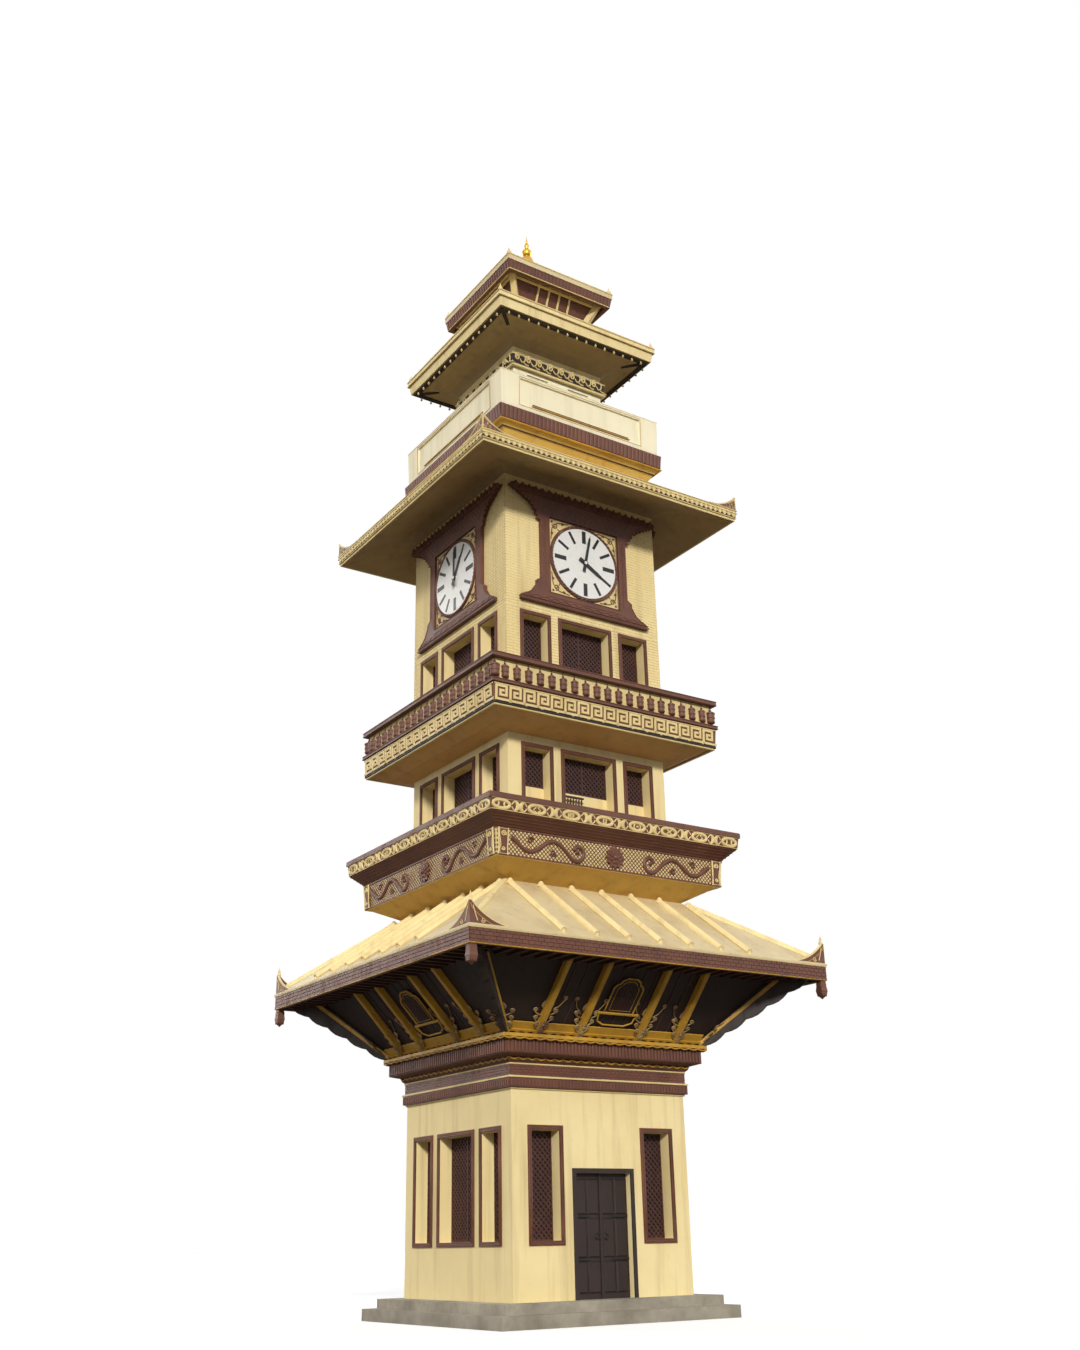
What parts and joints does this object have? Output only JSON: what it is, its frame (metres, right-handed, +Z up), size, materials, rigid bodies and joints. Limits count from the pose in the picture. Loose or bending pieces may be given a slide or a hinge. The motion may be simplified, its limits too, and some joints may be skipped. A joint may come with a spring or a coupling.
{
  "type": "clock tower",
  "caption": "Square tower with a strutted skirt roof, two balconies, a clock on each side under a wide eave, and a pavilion with a lantern on top.",
  "frame": {"origin": "ground level on the tower's vertical axis", "axes": "+Z up; the front faces -Y and the right side +X"},
  "size_m": [9.526, 9.526, 29.4],
  "materials": {
    "cream_plaster": "painted plaster",
    "pale_plaster": "painted plaster",
    "maroon_paint": "painted plaster",
    "ochre_plaster": "painted plaster",
    "roof_sheet": "painted concrete",
    "dark_timber": "painted",
    "cream_paint": "painted plaster",
    "concrete": "rough",
    "dial_white": "satin",
    "black_enamel": "satin",
    "gilt": "polished"
  },
  "bodies": {
    "root": {"balcony_ledge": "maroon_paint", "band_coping": "maroon_paint", "carved_band": "maroon_paint", "clock_storey_walls": "cream_plaster", "clock_surrounds": "maroon_paint", "corner_horns": "maroon_paint", "corner_pendants": "maroon_paint", "dial_panels": "cream_paint", "dials": "dial_white", "eave_leaves": "cream_paint", "eave_moulding": "cream_paint", "eave_roof": "cream_plaster", "finial": "gilt", "flared_board": "maroon_paint", "fringe_beam": "cream_paint", "ground_door": "dark_timber", "ground_storey_walls": "cream_plaster", "hour_marks": "black_enamel", "lantern": "maroon_paint", "lattice_band": "maroon_paint", "lattice_panels": "dark_timber", "lower_balcony_floor": "cream_plaster", "lower_balcony_soffit": "ochre_plaster", "lower_cornice": "maroon_paint", "meander_band": "cream_paint", "parapet_rail": "maroon_paint", "parapet_wall": "cream_paint", "pavilion_roof": "cream_plaster", "pavilion_walls": "pale_plaster", "plinth": "concrete", "prayer_wheels": "maroon_paint", "ribbed_band": "maroon_paint", "roof_ribs": "roof_sheet", "roof_struts": "dark_timber", "roof_tips": "cream_paint", "rope_rings": "maroon_paint", "second_storey_walls": "cream_plaster", "skirt_fascia": "maroon_paint", "skirt_roof": "roof_sheet", "skirt_soffit": "dark_timber", "strut_panels": "dark_timber", "terrace_corbel": "ochre_plaster", "terrace_floor": "pale_plaster", "terrace_parapet": "pale_plaster", "top_fascia": "maroon_paint", "top_roof": "roof_sheet", "upper_balcony_floor": "cream_plaster", "upper_balcony_soffit": "cream_plaster", "window_frames": "maroon_paint"},
    "front_minute": {"front_minute_hand": "black_enamel"},
    "front_hour": {"front_hour_hand": "black_enamel"},
    "right_minute": {"right_minute_hand": "black_enamel"},
    "right_hour": {"right_hour_hand": "black_enamel"},
    "back_minute": {"back_minute_hand": "black_enamel"},
    "back_hour": {"back_hour_hand": "black_enamel"},
    "left_minute": {"left_minute_hand": "black_enamel"},
    "left_hour": {"left_hour_hand": "black_enamel"}
  },
  "joints": [
    {"name": "front_minute_turn", "type": "hinge", "parent": "root", "child": "front_minute", "pos_m": [0, -2.4, 17.42], "axis": [0, 1, 0], "continuous": true},
    {"name": "front_hour_turn", "type": "hinge", "parent": "root", "child": "front_hour", "pos_m": [0, -2.4, 17.42], "axis": [0, 1, 0], "continuous": true},
    {"name": "right_minute_turn", "type": "hinge", "parent": "root", "child": "right_minute", "pos_m": [2.4, 0, 17.42], "axis": [-1, 0, 0], "continuous": true},
    {"name": "right_hour_turn", "type": "hinge", "parent": "root", "child": "right_hour", "pos_m": [2.4, 0, 17.42], "axis": [-1, 0, 0], "continuous": true},
    {"name": "back_minute_turn", "type": "hinge", "parent": "root", "child": "back_minute", "pos_m": [0, 2.4, 17.42], "axis": [0, -1, 0], "continuous": true},
    {"name": "back_hour_turn", "type": "hinge", "parent": "root", "child": "back_hour", "pos_m": [0, 2.4, 17.42], "axis": [0, -1, 0], "continuous": true},
    {"name": "left_minute_turn", "type": "hinge", "parent": "root", "child": "left_minute", "pos_m": [-2.4, 0, 17.42], "axis": [1, 0, 0], "continuous": true},
    {"name": "left_hour_turn", "type": "hinge", "parent": "root", "child": "left_hour", "pos_m": [-2.4, 0, 17.42], "axis": [1, 0, 0], "continuous": true}
  ],
  "couplings": [
    {"joint": "front_hour_turn", "follows": "front_minute_turn", "ratio": 0.083333},
    {"joint": "right_hour_turn", "follows": "right_minute_turn", "ratio": 0.083333},
    {"joint": "back_hour_turn", "follows": "back_minute_turn", "ratio": 0.083333},
    {"joint": "left_hour_turn", "follows": "left_minute_turn", "ratio": 0.083333}
  ]
}
